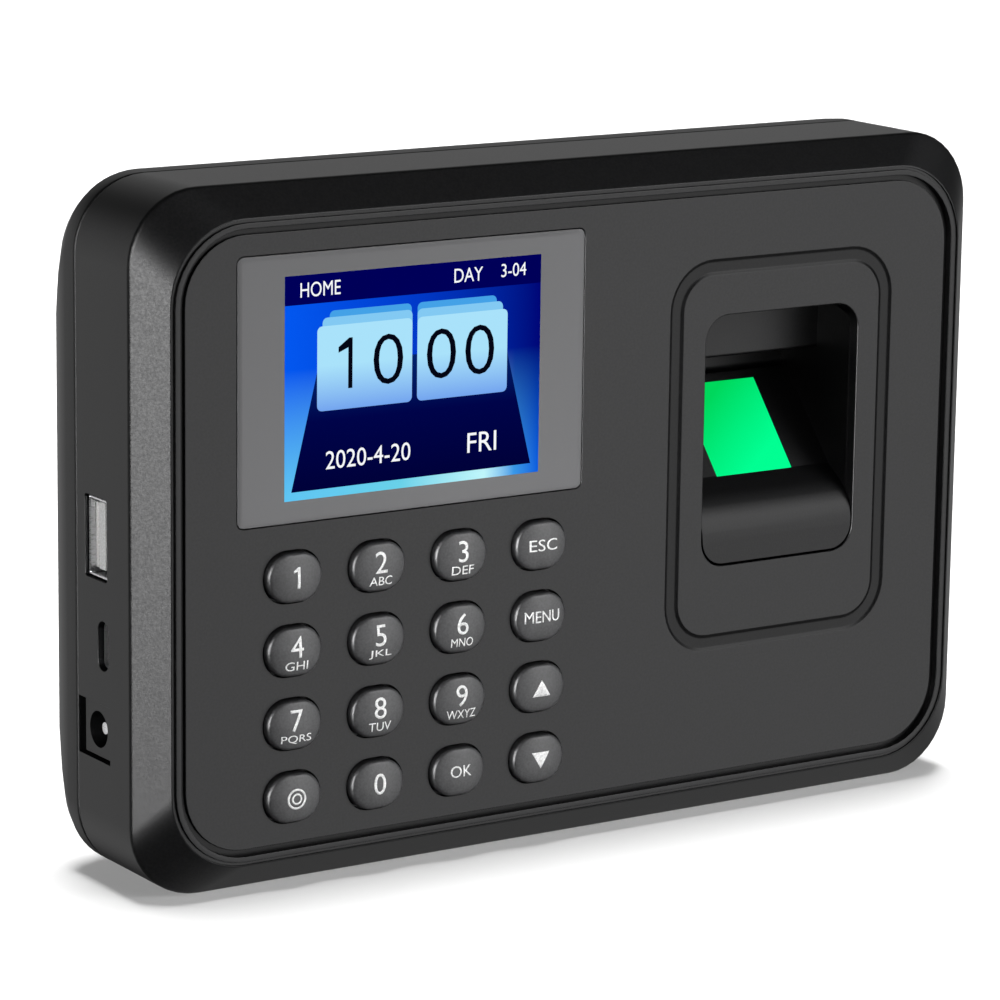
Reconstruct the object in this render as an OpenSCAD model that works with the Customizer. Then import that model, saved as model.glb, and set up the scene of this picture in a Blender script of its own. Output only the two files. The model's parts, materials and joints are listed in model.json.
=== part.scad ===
// Fingerprint time-and-access terminal: keypad and colour display on the left,
// recessed optical finger reader on the right, sockets in the left side wall.
// Front faces -Y, +X is right, +Z is up. The origin is under the middle of the case.

/* [Case] */
// Width of the case
body_w = 167.5; // [160:0.5:180]
// Height of the case
body_h = 116.3; // [114:0.1:125]
// Depth from the front rim to the back face
body_d = 35; // [34:0.5:40]
// Corner radius of the case seen from the front
body_r = 12.5; // [11:0.5:15]
// Width and depth of the slanted edge round the front
bevel = 5.1; // [4:0.1:6]
// Depth of the joint line between front housing and rear cover
split_d = 23; // [22:0.5:25]
// Wall thickness of the plastic
wall = 2.4; // [2:0.1:2.6]
// Depth of the flat panel behind the front rim
panel_d = 0.6; // [0.4:0.1:0.8]
// Thickness of the panel
panel_t = 2.2; // [2:0.1:2.6]

/* [Display] */
// Width of the clear window
window_w = 66.6; // [64:0.1:68]
// Height of the clear window
window_h = 44.3; // [42:0.1:45]
// Middle of the display, left of the middle of the case
display_x = -33.4; // [-35:0.1:-33]
// Middle of the display above the bottom
display_z = 83.1; // [82.5:0.1:84]
// Width of the picture area
active_w = 48.96; // [45:0.01:50]
// Height of the picture area
active_h = 36.72; // [34:0.01:38]

/* [Keypad] */
// Middle of the left key column
key_x0 = -56.35; // [-57:0.05:-56]
// Middle of the bottom key row
key_z0 = 15.32; // [15:0.01:16]
// Distance between key columns
key_px = 15.9; // [15.5:0.1:16]
// Distance between key rows
key_pz = 12.31; // [12.2:0.01:12.5]
// Width of a key opening
key_w = 10.8; // [10:0.1:11]
// Height of a key opening
key_h = 8.8; // [8.4:0.1:9.2]
// Gap between a key and its opening
key_gap = 0.3; // [0.25:0.05:0.4]
// Height of the key dome in front of the rim
key_proud = 1.2; // [0.8:0.1:1.6]
// Travel of a key
key_travel = 0.8; // [0.5:0.1:0.9]

/* [Finger reader] */
// Middle of the finger opening
finger_x = 41.3; // [40:0.1:43]
// Middle of the finger opening above the bottom
finger_z = 66.1; // [65:0.1:67]
// Width of the finger opening
finger_w = 32.4; // [32:0.1:33]
// Height of the finger opening
finger_h = 43.9; // [43:0.1:45]
// Width of the reading glass
glass_w = 16.1; // [15:0.1:18]
// Length of the reading glass along its slope
glass_l = 18.5; // [17:0.1:19]
// Slope of the reading glass above the horizontal
glass_a = 49.8; // [48:0.1:52]

/* [Sockets] */
// Height of the middle of the USB-A socket
usb_z = 58.6; // [56:0.1:60]
// Height of the middle of the micro USB socket
micro_z = 41.1; // [40:0.1:44]
// Height of the middle of the power socket
jack_z = 26.7; // [26:0.1:28]
// Radius of the power socket's hole
jack_r = 3.05; // [2.75:0.05:3.2]
// Radius of the power socket's centre pin
jack_pin_r = 1; // [0.8:0.05:1.25]

/* [Back] */
// Distance across between the wall plate's screw points
plate_px = 100; // [90:1:104]
// Distance up between the wall plate's screw points
plate_pz = 50; // [46:1:54]
// Radius of the threaded hole in an insert
insert_hole_r = 1.25; // [1.2:0.05:1.6]

/* [Hidden] */
$fn = 48;
eps = 0.01;
y_front = -(body_d - key_proud) / 2; // front rim plane, with the origin under the middle
mid_z = body_h / 2;
rim_w = body_w - 2 * bevel;
rim_h = body_h - 2 * bevel;
rim_r = body_r + 1;
groove_w = rim_w - 3.1;
groove_h = rim_h - 2.9;
groove_t = 1;
groove_depth = 0.6;
seam_t = 0.5;              // fine seam where the slanted edge meets the rim
ring_depth = 0.3;
panel_w = groove_w - 2 * groove_t;
panel_h = groove_h - 2 * groove_t;
panel_back = panel_d + panel_t;
deep_d = 7.5;              // where the case reaches its full inner size
inner_w = body_w - 2 * wall;
inner_h = body_h - 2 * wall;
inner_r = body_r - wall;
ring_w = 46.7;             // smooth ring round the finger opening
ring_h = 68;
ring_t = 2.35;
ring_z = 63.65;
window_t = 1.4;
window_gap = 0.15;
window_r = 1.3;
lcd_w = active_w + 7;      // glass of the display, larger than its picture
lcd_h = active_h + 4;
lcd_frame_w = 60.3;
lcd_frame_h = 42.7;
key_cap_w = key_w - 2 * key_gap;
key_cap_h = key_h - 2 * key_gap;
key_cap_r = 3.95;
key_dome_r = 10.8;
key_skirt_d = panel_back + 0.2;
key_skirt_t = 1;
mat_d = 7.4;               // front of the mat's sheet
mat_t = 1;
mat_dome_d = key_skirt_d + key_skirt_t + key_travel + 0.2;
mat_dome_r = 3.6;
pad_board_d = mat_d + mat_t;
pad_board_t = 1.2;
key_mid_x = key_x0 + 1.5 * key_px;
key_mid_z = key_z0 + 1.5 * key_pz;
pad_screw_x = 32;          // from the middle of the keypad
pad_screw_z = 22;
board_d = 10.8;
board_t = 1.6;
board_back = board_d + board_t;
board_x0 = -80.6;
board_x1 = 12;
board_z0 = 15;
board_z1 = 101;
board_screws_x = [-70, 8];
board_screws_z = [19, 97];
port_x = -body_w / 2;      // outer face of the left wall
port_d = 16.4;             // middle of the USB-A and power sockets
jack_half = 4.45;          // half the side of the power socket's square body
micro_d = 14.1;
case_screw_x = 74.5;
case_screw_z = [9.5, body_h - 9.5];
seat_d = 22;               // where the rear cover's towers meet the front bosses
head_d = 24;
lip_d = 21.2;
guide_d = 0.7;
guide_w = finger_w - 0.8;
guide_h = finger_h - 1.2;
guide_z = finger_z + 0.15;
guide_in_w = finger_w - 0.4;
guide_side = 0.9;
guide_t = 1.8;
flange_w = 48;
flange_h = 52;
flange_d = panel_back;
flange_t = 1.6;
guide_screw_x = 20.4;
guide_screw_z = 18;
guide_boss_d = 7;
ledge_z = 53.9;            // top of the face below the finger slope
glass_low = [7.78, 58.26]; // lower edge of the glass: depth, height
glass_high = glass_low + glass_l * [cos(glass_a), sin(glass_a)];
glass_mid = (glass_low + glass_high) / 2;
slope_end = glass_high + 1.7 * [cos(glass_a), sin(glass_a)];
pocket_d = 22.6;           // deepest point, where the fingertip stops
pocket_z = 78.3;
hood_d = 12;               // upper wall above the fingertip
hood_z = 87.8;
sensor_w = 20.6;
speaker_x = 30;
speaker_z = 22;
speaker_r = 12;
coin_x = -22;
coin_z = 84;
plate_x = plate_px / 2;
insert_l = 6;

// --- helpers: d counts back from the front rim, x and z are as on the case ---
module slab(d0, d1) {
    translate([0, y_front + d1, 0])
        rotate([90, 0, 0])
            linear_extrude(d1 - d0)
                children();
}
module rrect(w, h, r, x = 0, z = 0) {
    translate([x, z]) {
        square([w - 2 * r, h], center = true);
        square([w, h - 2 * r], center = true);
        for (i = [-1, 1], j = [-1, 1])
            translate([i * (w / 2 - r), j * (h / 2 - r)])
                circle(r = r);
    }
}
module rect(w, h, x, z) {
    translate([x, z])
        square([w, h], center = true);
}
module rod(r, x, z, d0, d1) {
    translate([x, y_front + d1, z])
        rotate([90, 0, 0])
            cylinder(r = r, h = d1 - d0);
}
module block(x0, x1, d0, d1, z0, z1) {
    translate([x0, y_front + d0, z0])
        cube([x1 - x0, d1 - d0, z1 - z0]);
}
module side_profile(w, points) {
    translate([finger_x - w / 2, y_front, 0])
        rotate([90, 0, 90])
            linear_extrude(w)
                polygon(points);
}
// shape drawn as depth and height, extruded inwards from the left wall
module port_slab(in0, in1) {
    translate([port_x + in0, y_front, 0])
        rotate([90, 0, 90])
            linear_extrude(in1 - in0)
                children();
}
module on_glass() {
    translate([finger_x, y_front + glass_mid[0], glass_mid[1]])
        rotate([glass_a, 0, 0])
            children();
}
module glass_box(w, l, z0, z1) {
    translate([-w / 2, -l / 2, z0])
        cube([w, l, z1 - z0]);
}
function col_x(c) = key_x0 + c * key_px;
function row_z(r) = key_z0 + r * key_pz;
module at_case_screws() {
    for (x = [-case_screw_x, case_screw_x], z = case_screw_z)
        translate([x, 0, z])
            children();
}
module at_board_screws() {
    for (x = board_screws_x, z = board_screws_z)
        translate([x, 0, z])
            children();
}
module at_pad_screws() {
    for (i = [-1, 1], j = [-1, 1])
        translate([key_mid_x + i * pad_screw_x, 0, key_mid_z + j * pad_screw_z])
            children();
}
module at_guide_screws() {
    for (i = [-1, 1], j = [-1, 1])
        translate([finger_x + i * guide_screw_x, 0, finger_z + j * guide_screw_z])
            children();
}
module at_inserts() {
    for (i = [-1, 1], j = [-1, 1])
        translate([i * plate_x, 0, mid_z + j * plate_pz / 2])
            children();
}
module at_keys() {
    for (c = [0:3], r = [0:3])
        translate([col_x(c), 0, row_z(r)])
            children();
}

// --- case ---
module front_outer() {
    hull($fn = 96) {
        slab(0, eps) rrect(rim_w, rim_h, rim_r, 0, mid_z);
        slab(bevel, split_d) rrect(body_w, body_h, body_r, 0, mid_z);
    }
}
module port_cuts() {
    usb_w = 13.6;
    usb_t = 7.4;
    micro_w = 8.2;
    micro_t = 3.6;
    jack_side = 4.4;
    port_slab(-1, wall + 1) {
        rrect(usb_t, usb_w, 0.6, port_d, usb_z);
        rrect(micro_t, micro_w, micro_t / 2 - eps, micro_d, micro_z);
    }
    block(port_x - 1, port_x + wall + 1, port_d - jack_side - 0.1, split_d + 1,
        jack_z - jack_half - 0.7, jack_z + jack_half + 0.1);
}
module front_housing() {
    color("#3c3c3e")
    difference() {
        union() {
            difference() {
                front_outer();
                slab(-1, panel_d) rrect(groove_w, groove_h, rim_r - 1.5, 0, mid_z);
                slab(panel_back, deep_d + eps) rrect(155, 104, 11, 0, mid_z);
                slab(deep_d, split_d + 1) rrect(inner_w, inner_h, inner_r, 0, mid_z);
            }
            at_case_screws() rod(3.6, 0, 0, panel_back - eps, seat_d);
            at_board_screws() rod(2.8, 0, 0, panel_back - eps, board_d);
            at_pad_screws() rod(1.9, 0, 0, panel_back - eps, pad_board_d);
            at_guide_screws() rod(2.2, 0, 0, panel_back - eps, guide_boss_d);
        }
        // groove between the rim and the panel
        difference() {
            slab(panel_d - eps, panel_d + groove_depth)
                rrect(groove_w, groove_h, rim_r - 1.5, 0, mid_z);
            slab(0, panel_back) rrect(panel_w, panel_h, rim_r - 2.5, 0, mid_z);
        }
        difference() {
            slab(-1, seam_t) rrect(rim_w, rim_h, rim_r, 0, mid_z);
            slab(-2, panel_back)
                rrect(rim_w - 2 * seam_t, rim_h - 2 * seam_t, rim_r - seam_t, 0, mid_z);
        }
        // smooth ring round the finger opening
        difference() {
            slab(panel_d - eps, panel_d + ring_depth)
                rrect(ring_w, ring_h, 8.5, finger_x - 0.3, ring_z);
            slab(0, panel_back)
                rrect(ring_w - 2 * ring_t, ring_h - 2 * ring_t, 6.3, finger_x - 0.1, ring_z);
        }
        slab(-1, panel_back + 1) rrect(finger_w, finger_h, 4.6, finger_x, finger_z);
        slab(-1, panel_d + window_t + 0.1)
            rrect(window_w, window_h, window_r, display_x, display_z);
        slab(-1, panel_back + 1) rect(active_w + 2, active_h + 2, display_x, display_z);
        at_keys() slab(-1, panel_back + 1) rrect(key_w, key_h, key_cap_r + key_gap);
        at_case_screws() rod(1.5, 0, 0, 9, seat_d + 1);
        at_board_screws() rod(1.05, 0, 0, 5, board_d + 1);
        at_pad_screws() rod(0.85, 0, 0, 3.4, pad_board_d + 1);
        at_guide_screws() rod(0.95, 0, 0, 2.3, guide_boss_d + 1);
        port_cuts();
    }
}
module cover_outer() {
    hull($fn = 96) {
        slab(split_d, 26.5) rrect(body_w, body_h, body_r, 0, mid_z);
        slab(30, 30 + eps) rrect(body_w - 1, body_h - 1, 18, 0, mid_z);
        slab(33, 33 + eps) rrect(body_w - 3.6, body_h - 3.6, 28, 0, mid_z);
        slab(body_d - eps, body_d) rrect(body_w - 9, body_h - 9, 36, 0, mid_z);
    }
}
module rear_cover() {
    back_wall = body_d - wall;
    color("#474749")
    difference() {
        union() {
            difference() {
                cover_outer();
                slab(split_d - 1, 26.5) rrect(inner_w, inner_h, inner_r, 0, mid_z);
                slab(26.5 - eps, 30) rrect(160, 108.8, 18, 0, mid_z);
                slab(30 - eps, back_wall) rrect(152, 100, 24, 0, mid_z);
            }
            // lip that locates the cover inside the front housing
            difference() {
                slab(lip_d, split_d + 1)
                    rrect(inner_w - 0.3, inner_h - 0.3, inner_r - 0.15, 0, mid_z);
                slab(lip_d - 1, split_d + 2)
                    rrect(inner_w - 2.9, inner_h - 2.9, inner_r - 1.4, 0, mid_z);
                block(port_x, port_x + 8, lip_d - 1, split_d + eps, 20, 33);
            }
            difference() {
                slab(split_d + eps, split_d + 1)
                    rrect(inner_w + 1, inner_h + 1, inner_r + 0.5, 0, mid_z);
                slab(split_d - 1, split_d + 2)
                    rrect(inner_w - 2.9, inner_h - 2.9, inner_r - 1.4, 0, mid_z);
            }
            intersection() {
                at_case_screws() rod(4.8, 0, 0, seat_d, body_d);
                union() {
                    cover_outer();
                    slab(seat_d - 1, split_d + 1)
                        rrect(inner_w - 0.3, inner_h - 0.3, inner_r - 0.15, 0, mid_z);
                }
            }
            at_inserts() rod(4, 0, 0, body_d - insert_l - 1.2, back_wall + eps);
            // ring that holds the speaker
            difference() {
                rod(speaker_r + 1.5, speaker_x, speaker_z, body_d - 5.4, back_wall + eps);
                rod(speaker_r + 0.15, speaker_x, speaker_z, body_d - 6, back_wall + 0.1);
            }
        }
        at_case_screws() rod(1.7, 0, 0, seat_d - 1, head_d + 1);
        at_case_screws() rod(3.2, 0, 0, head_d, body_d + 1);
        at_inserts() rod(2.3, 0, 0, body_d - insert_l, body_d + 1);
        for (i = [-3:3])
            block(speaker_x + i * 3.2 - 0.8, speaker_x + i * 3.2 + 0.8, back_wall - 1, body_d + 1,
                speaker_z - 8 + abs(i), speaker_z + 8 - abs(i));
        // hollow round the power socket's corner
        block(port_x - 1, port_x + wall + 1, split_d - 2, split_d + 0.3,
            jack_z - jack_half - 0.7, jack_z + jack_half + 0.1);
    }
}

// --- display ---
module display_window() {
    color("#6f7073")
    slab(panel_d, panel_d + window_t)
        rrect(window_w - 2 * window_gap, window_h - 2 * window_gap,
            window_r - window_gap, display_x, display_z);
}
module lcd_panel() {
    color("#1e6fe8")
    slab(panel_back + 0.1, panel_back + 1.5) rect(lcd_w, lcd_h, display_x, display_z);
}
module lcd_frame() {
    color("silver")
    difference() {
        slab(panel_back + 0.1, panel_back + 3.5) rect(lcd_frame_w, lcd_frame_h, display_x, display_z);
        slab(panel_back - 1, panel_back + 1.5)
            rect(lcd_w + 0.2, lcd_h + 0.2, display_x, display_z);
    }
}
module lcd_flex() {
    top_z = display_z + lcd_frame_h / 2;
    x0 = display_x - 14;
    x1 = display_x + 14;
    color("#c07a2c") {
        block(x0, x1, 4.6, 4.9, top_z, top_z + 1.5);
        block(x0, x1, 4.6, 8.3, top_z + 1.2, top_z + 1.5);
        block(x0, x1, 8, 8.3, 90, top_z + 1.5);
    }
}
module lcd_connector() {
    color("ivory")
    block(display_x - 15, display_x + 15, 8.3, board_d, 88, 92);
}

// --- keypad ---
module key_cap() {
    dome_d = -key_proud + key_dome_r;
    color("#454547") {
        intersection() {
            slab(-key_proud - 1, key_skirt_d + key_skirt_t)
                rrect(key_cap_w, key_cap_h, key_cap_r);
            translate([0, y_front + dome_d, 0])
                sphere(r = key_dome_r, $fn = 64);
        }
        slab(key_skirt_d, key_skirt_d + key_skirt_t) rrect(12, 10.4, 4.4);
    }
}
module key_at(c, r) {
    translate([col_x(c), 0, row_z(r)])
        key_cap();
}
module key_1() key_at(0, 3);
module key_2() key_at(1, 3);
module key_3() key_at(2, 3);
module key_esc() key_at(3, 3);
module key_4() key_at(0, 2);
module key_5() key_at(1, 2);
module key_6() key_at(2, 2);
module key_menu() key_at(3, 2);
module key_7() key_at(0, 1);
module key_8() key_at(1, 1);
module key_9() key_at(2, 1);
module key_up() key_at(3, 1);
module key_power() key_at(0, 0);
module key_0() key_at(1, 0);
module key_ok() key_at(2, 0);
module key_down() key_at(3, 0);
module keypad_mat() {
    color("#8a8d90")
    difference() {
        union() {
            slab(mat_d, mat_d + mat_t)
                rect(3 * key_px + 12.2, 3 * key_pz + 11, key_mid_x, key_mid_z);
            at_keys() rod(mat_dome_r, 0, 0, mat_dome_d, mat_d + eps);
        }
        at_keys() rod(mat_dome_r - 0.9, 0, 0, mat_dome_d + 0.9, mat_d + mat_t + 1);
    }
}
module contact_pills() {
    color("#202020")
    at_keys() rod(1.8, 0, 0, mat_dome_d + 0.9, mat_dome_d + 1.4);
}
module keypad_board() {
    color("#2f6b3c")
    difference() {
        slab(pad_board_d, pad_board_d + pad_board_t)
            rect(3 * key_px + 20.4, 3 * key_pz + 14, key_mid_x, key_mid_z);
        at_pad_screws() rod(1, 0, 0, pad_board_d - 1, pad_board_d + 2);
    }
}
module keypad_screws() {
    color("silver")
    at_pad_screws() {
        rod(0.8, 0, 0, 3.6, pad_board_d + pad_board_t + eps);
        rod(1.7, 0, 0, pad_board_d + pad_board_t, pad_board_d + pad_board_t + 0.9);
    }
}
module board_header() {
    color("#1c1c1c")
    block(-41, -25, pad_board_d + pad_board_t, board_d, 32, 34.5);
}

// --- main board and what is on it ---
module main_board() {
    color("#2f6b3c")
    difference() {
        block(board_x0, board_x1, board_d, board_back, board_z0, board_z1);
        at_board_screws() rod(1.25, 0, 0, board_d - 1, board_back + 1);
    }
}
module board_screws() {
    color("silver")
    at_board_screws() {
        rod(1, 0, 0, 5.4, board_back + eps);
        rod(2.3, 0, 0, board_back, board_back + 1.6);
    }
}
module processor() {
    color("#232325")
    block(-36, -16, board_back, board_back + 1.6, 46, 66);
}
module memory_chips() {
    color("#232325")
    for (z = [38, 50])
        block(-8, 4, board_back, board_back + 1.2, z, z + 8);
}
module capacitors() {
    color("#3a4a6a")
    for (z = [22, 32, 42])
        rod(2.5, -60, z, board_back, board_back + 7);
}
module coin_cell_holder() {
    color("#1c1c1c")
    difference() {
        rod(12, coin_x, coin_z, board_back, board_back + 4);
        rod(10.2, coin_x, coin_z, board_back + 0.8, board_back + 5);
        block(coin_x - 4, coin_x + 4, board_back + 0.8, board_back + 5, coin_z - 13, coin_z);
    }
}
module coin_cell() {
    color("silver")
    rod(10, coin_x, coin_z, board_back + 0.8, board_back + 4);
}
module usb_a_shell() {
    w = 13.1;
    t = 6.6;
    s = 0.4;
    color("silver") {
        difference() {
            block(port_x + 0.5, port_x + 14.5, port_d - t / 2, port_d + t / 2,
                usb_z - w / 2, usb_z + w / 2);
            block(port_x, port_x + 14.1, port_d - t / 2 + s, port_d + t / 2 - s,
                usb_z - w / 2 + s, usb_z + w / 2 - s);
        }
        for (i = [-1, 1])
            block(port_x + 8, port_x + 10, board_back, port_d - t / 2 + eps,
                usb_z + i * 5 - 1, usb_z + i * 5 + 1);
    }
}
module usb_a_tongue() {
    color("#e8e8e8") {
        block(port_x + 1.6, port_x + 11, port_d - 0.2, port_d + 1.7, usb_z - 5.6, usb_z + 5.6);
        block(port_x + 11 - eps, port_x + 14, port_d - 2.8, port_d + 2.8, usb_z - 6, usb_z + 6);
    }
}
module micro_usb_shell() {
    w = 7.5;
    t = 2.6;
    s = 0.3;
    color("#5a5a5c") {
        difference() {
            port_slab(0.9, 6.4) rrect(t, w, 1, micro_d, micro_z);
            port_slab(0, 6.1) rrect(t - 2 * s, w - 2 * s, 1 - s, micro_d, micro_z);
        }
        for (i = [-1, 1])
            block(port_x + 3.6, port_x + 5.4, board_back, micro_d - t / 2 + eps,
                micro_z + i * 2.5 - 0.8, micro_z + i * 2.5 + 0.8);
    }
}
module micro_usb_tongue() {
    color("#202022") {
        block(port_x + 1.8, port_x + 5, micro_d, micro_d + 0.6, micro_z - 2.7, micro_z + 2.7);
        block(port_x + 5 - eps, port_x + 6, micro_d - 0.9, micro_d + 0.9,
            micro_z - 2.9, micro_z + 2.9);
    }
}
module power_jack_body() {
    x0 = port_x + 0.35;
    color("#3c3c3e")
    difference() {
        block(x0, x0 + 13.5, board_back, port_d + jack_half,
            jack_z - jack_half, jack_z + jack_half);
        translate([x0 - 1, y_front + port_d, jack_z])
            rotate([0, 90, 0])
                cylinder(r = jack_r, h = 11);
    }
}
module power_jack_pin() {
    color("silver")
    translate([port_x + 1.5, y_front + port_d, jack_z])
        rotate([0, 90, 0])
            cylinder(r = jack_pin_r, h = 8.85);
}

// --- finger reader ---
module finger_guide() {
    front = -2;
    slope = [[front, ledge_z], [guide_d + 0.6, ledge_z], glass_low, slope_end,
        [pocket_d, slope_end[1]], [pocket_d, pocket_z], [hood_d, pocket_z], [hood_d, hood_z],
        [front, hood_z]];
    low = guide_z - guide_h / 2;
    high = hood_z + guide_t;
    skin = guide_t * [sin(glass_a), -cos(glass_a)];
    outer = [[flange_d, low], [flange_d + guide_t, low], [flange_d + guide_t, ledge_z - 1.3],
        glass_low + [1.1, -1.5], slope_end + skin, [pocket_d + guide_t, slope_end[1] + skin[1]],
        [pocket_d + guide_t, pocket_z + guide_t], [hood_d + guide_t, pocket_z + guide_t],
        [hood_d + guide_t, high], [flange_d, high]];
    color("#3a3a3c")
    difference() {
        union() {
            side_profile(guide_in_w + 2 * guide_side, outer);
            // plate that fills the lower part of the opening, flush with the panel
            intersection() {
                slab(guide_d, flange_d + eps) rrect(guide_w, guide_h, 4.2, finger_x, guide_z);
                block(finger_x - 20, finger_x + 20, guide_d - 1, flange_d + 1, 0, ledge_z + 3);
            }
            slab(flange_d, flange_d + flange_t) rrect(flange_w, flange_h, 3, finger_x, guide_z);
            at_guide_screws() rod(3.6, 0, 0, flange_d, guide_boss_d);
        }
        side_profile(guide_in_w, slope);
        at_guide_screws() rod(2.3, 0, 0, flange_d - 1, guide_boss_d + 1);
        on_glass() glass_box(glass_w + 0.1, glass_l + 0.1, -5, 5);
    }
}
module guide_screws() {
    color("silver")
    at_guide_screws() {
        rod(0.9, 0, 0, 2.5, guide_boss_d + eps);
        rod(3, 0, 0, guide_boss_d, guide_boss_d + 1.4);
    }
}
module sensor_prism() {
    color("#00e664")
    on_glass() {
        glass_box(glass_w, glass_l, -2.2, -0.1);
        glass_box(17.8, 19.6, -8, -2.1);
    }
}
module sensor_housing() {
    color("#1f1f21")
    on_glass()
        difference() {
            glass_box(sensor_w, 21, -13.6, -2.1);
            glass_box(18, 19.8, -14, -1);
        }
}
module sensor_board() {
    color("#2f6b3c")
    on_glass()
        glass_box(19.6, 18, -14.8, -13.6);
}
module sensor_leds() {
    color("#b8f5c8")
    on_glass()
        for (i = [-1, 1], j = [-1, 1])
            translate([i * 6.6, j * 6.6, -13.6])
                cylinder(r = 1.5, h = 3);
}
module sensor_camera() {
    color("#232325")
    on_glass()
        difference() {
            translate([0, 0, -13.6])
                cylinder(r = 3.6, h = 4.4);
            translate([0, 0, -11.6])
                cylinder(r = 2.2, h = 4);
        }
}
module sensor_lens() {
    color("#9cc4d8")
    on_glass()
        translate([0, 0, -11.6])
            cylinder(r = 2.2, h = 1.6);
}
module sensor_connector() {
    color("ivory")
    block(0, 6, board_back, board_back + 3, 60, 68);
}
module sensor_cable() {
    x_turn = 21;
    t = 0.4;
    end_d = 27;
    z0 = 61;
    z1 = 67;
    color("#bfc3c8") {
        block(3, x_turn + t, board_back + 3, board_back + 3 + t, z0, z1);
        block(x_turn, x_turn + t, board_back + 3, end_d + t, z0, z1);
        block(x_turn, finger_x - sensor_w / 2, end_d, end_d + t, z0, z1);
    }
}

// --- speaker and fixings ---
module speaker_frame() {
    back_wall = body_d - wall;
    color("#55585c")
    difference() {
        union() {
            rod(speaker_r, speaker_x, speaker_z, back_wall - 3.6, back_wall);
            rod(6, speaker_x, speaker_z, back_wall - 7, back_wall - 3.5);
        }
        rod(speaker_r - 1.2, speaker_x, speaker_z, back_wall - 2.4, back_wall + 1);
    }
}
module speaker_cone() {
    back_wall = body_d - wall;
    color("#2a2a2c") {
        rod(speaker_r - 1.3, speaker_x, speaker_z, back_wall - 2.4, back_wall - 1.6);
        rod(4, speaker_x, speaker_z, back_wall - 1.7, back_wall - 0.8);
    }
}
module case_screws() {
    color("silver")
    at_case_screws() {
        rod(1.4, 0, 0, 10, head_d + eps);
        rod(2.8, 0, 0, head_d, head_d + 2);
    }
}
module wall_inserts() {
    color("#c9a24a")
    difference() {
        at_inserts() rod(2.3, 0, 0, body_d - insert_l, body_d);
        at_inserts() rod(insert_hole_r, 0, 0, body_d - insert_l - 1, body_d + 1);
    }
}

front_housing();
rear_cover();
display_window();
lcd_panel();
lcd_frame();
lcd_flex();
lcd_connector();
keypad_mat();
contact_pills();
keypad_board();
keypad_screws();
board_header();
main_board();
board_screws();
processor();
memory_chips();
capacitors();
coin_cell_holder();
coin_cell();
usb_a_shell();
usb_a_tongue();
micro_usb_shell();
micro_usb_tongue();
power_jack_body();
power_jack_pin();
finger_guide();
guide_screws();
sensor_prism();
sensor_housing();
sensor_board();
sensor_leds();
sensor_camera();
sensor_lens();
sensor_connector();
sensor_cable();
speaker_frame();
speaker_cone();
case_screws();
wall_inserts();
key_1();
key_2();
key_3();
key_esc();
key_4();
key_5();
key_6();
key_menu();
key_7();
key_8();
key_9();
key_up();
key_power();
key_0();
key_ok();
key_down();
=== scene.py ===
"""Looks of a fingerprint terminal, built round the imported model.

Shapes are drawn in millimetres, and at() turns their points into metres in the model's frame. Depth
counts back from the front rim of the case. Names that end in _m, modifier widths, the floor and the
camera's clips are in metres.
"""
import json
import math

import bmesh
import bpy
from mathutils import Matrix, Vector


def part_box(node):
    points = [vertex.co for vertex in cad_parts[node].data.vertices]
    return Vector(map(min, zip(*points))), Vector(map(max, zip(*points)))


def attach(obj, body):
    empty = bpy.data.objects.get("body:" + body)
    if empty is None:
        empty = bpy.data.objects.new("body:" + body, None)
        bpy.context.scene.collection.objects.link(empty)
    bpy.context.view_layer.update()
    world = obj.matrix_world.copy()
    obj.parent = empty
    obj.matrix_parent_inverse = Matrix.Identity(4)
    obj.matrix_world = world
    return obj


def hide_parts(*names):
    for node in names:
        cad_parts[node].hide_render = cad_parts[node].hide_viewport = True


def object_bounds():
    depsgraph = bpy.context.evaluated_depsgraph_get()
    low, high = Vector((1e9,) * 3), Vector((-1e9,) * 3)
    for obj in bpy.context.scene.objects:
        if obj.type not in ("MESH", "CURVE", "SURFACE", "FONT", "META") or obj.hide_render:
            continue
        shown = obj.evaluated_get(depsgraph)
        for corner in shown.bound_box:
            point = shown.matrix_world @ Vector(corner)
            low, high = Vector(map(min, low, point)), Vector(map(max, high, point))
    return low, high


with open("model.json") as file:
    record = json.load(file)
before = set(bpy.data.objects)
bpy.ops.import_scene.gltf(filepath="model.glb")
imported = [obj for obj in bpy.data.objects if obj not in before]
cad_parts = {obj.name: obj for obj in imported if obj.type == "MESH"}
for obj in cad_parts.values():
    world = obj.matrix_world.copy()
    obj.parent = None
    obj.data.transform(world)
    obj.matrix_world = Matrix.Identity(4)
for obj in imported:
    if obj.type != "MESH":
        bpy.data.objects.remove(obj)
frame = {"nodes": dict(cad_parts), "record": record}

MM = 0.001
cad_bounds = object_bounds()
SLOT_COLOUR = {m["slot"]: m["base_color"] for m in frame["record"]["materials"]}
SLOT_OF_NODE = {p["node"]: p["material_slot"] for p in frame["record"]["subparts"]}


# ---------------------------------------------------------------- sizes taken from the frame
def box_mm(node):
    low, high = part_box(node)
    return low / MM, high / MM


def centre_and_size(node):
    low, high = box_mm(node)
    return (low + high) / 2, high - low


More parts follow.
